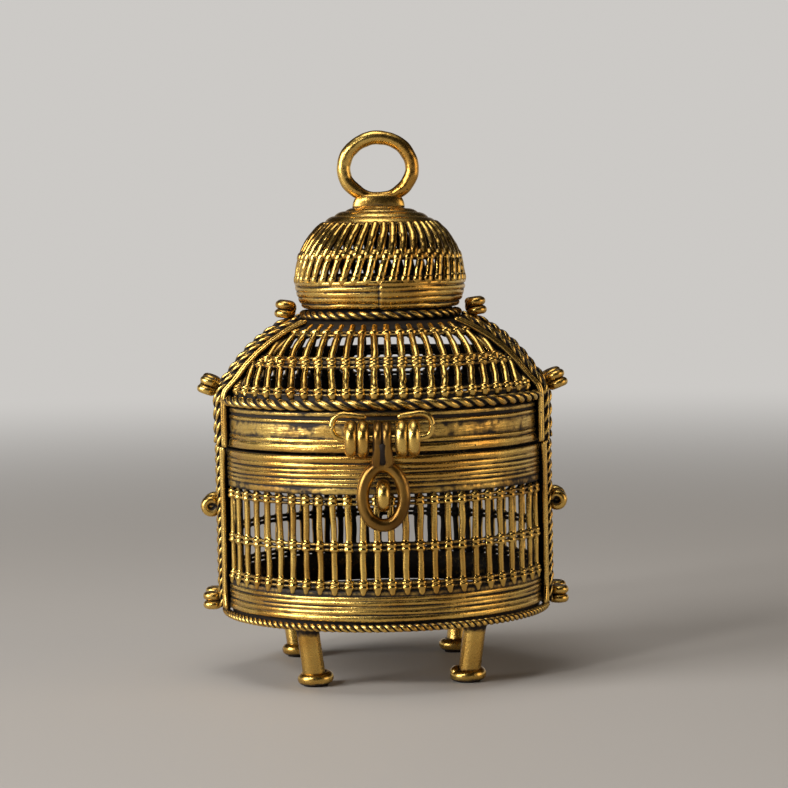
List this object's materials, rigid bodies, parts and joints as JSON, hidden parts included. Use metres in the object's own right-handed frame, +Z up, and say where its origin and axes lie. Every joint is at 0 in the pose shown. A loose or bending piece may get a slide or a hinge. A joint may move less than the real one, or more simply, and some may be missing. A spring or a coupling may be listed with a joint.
{
  "type": "jewelry box",
  "caption": "Round openwork box of lost-wax cast brass on legs, with a hinged domed lid, a lifting ring and a looped hasp over a staple.",
  "frame": {"origin": "on the ground below the box's axis, at the middle of the underside", "axes": "+Z up, -Y toward the latch at the front, +X to the right as one faces the latch"},
  "size_m": [0.0898, 0.0958, 0.1325],
  "materials": {
    "polished_brass": "cast, polished on the raised threads, dark in the hollows",
    "dark_brass": "cast, with brown-black patina between the bars",
    "brown_bronze": "worn brown patina"
  },
  "bodies": {
    "box": {"leg_back_right": "polished_brass", "leg_back_left": "polished_brass", "leg_front_left": "polished_brass", "leg_front_right": "polished_brass", "floor_plate": "polished_brass", "base_rope": "polished_brass", "lower_band": "polished_brass", "body_grille": "dark_brass", "upper_band": "polished_brass", "hasp_staple": "polished_brass", "body_strap_left": "polished_brass", "body_strap_right": "polished_brass", "bottom_coil_left_near": "polished_brass", "bottom_coil_left_far": "polished_brass", "bottom_coil_right_near": "polished_brass", "bottom_coil_right_far": "polished_brass", "mid_coil_left_near": "polished_brass", "mid_coil_left_far": "polished_brass", "mid_coil_right_near": "polished_brass", "mid_coil_right_far": "polished_brass", "hinge_coil_box_left": "polished_brass", "hinge_coil_box_right": "polished_brass", "hinge_pin": "polished_brass"},
    "lid": {"lid_rim": "polished_brass", "eave_rope_front": "polished_brass", "eave_rope_back": "polished_brass", "lid_lower_grille": "dark_brass", "lid_upper_grille": "dark_brass", "lid_shoulder": "polished_brass", "neck_rope": "polished_brass", "dome_band": "polished_brass", "dome_lower_grille": "dark_brass", "dome_upper_grille": "dark_brass", "dome_cap": "polished_brass", "finial_ring": "polished_brass", "lid_strap_left": "polished_brass", "lid_strap_right": "polished_brass", "eave_coil_left_near": "polished_brass", "eave_coil_left_far": "polished_brass", "eave_coil_right_near": "polished_brass", "eave_coil_right_far": "polished_brass", "top_coil_left_near": "polished_brass", "top_coil_left_far": "polished_brass", "top_coil_right_near": "polished_brass", "top_coil_right_far": "polished_brass", "latch_lug_left": "polished_brass", "latch_lug_right": "polished_brass", "latch_pin": "polished_brass", "hinge_coil_lid": "polished_brass"},
    "hasp": {"hasp": "brown_bronze"}
  },
  "joints": [
    {"name": "lid_hinge", "type": "hinge", "parent": "box", "child": "lid", "pos_m": [0, 0.044, 0.0565], "axis": [-1, 0, 0], "range_deg": [0, 105]},
    {"name": "hasp_swing", "type": "hinge", "parent": "lid", "child": "hasp", "pos_m": [0, -0.04357, 0.0605], "axis": [-1, 0, 0], "range_deg": [0, 150]}
  ]
}
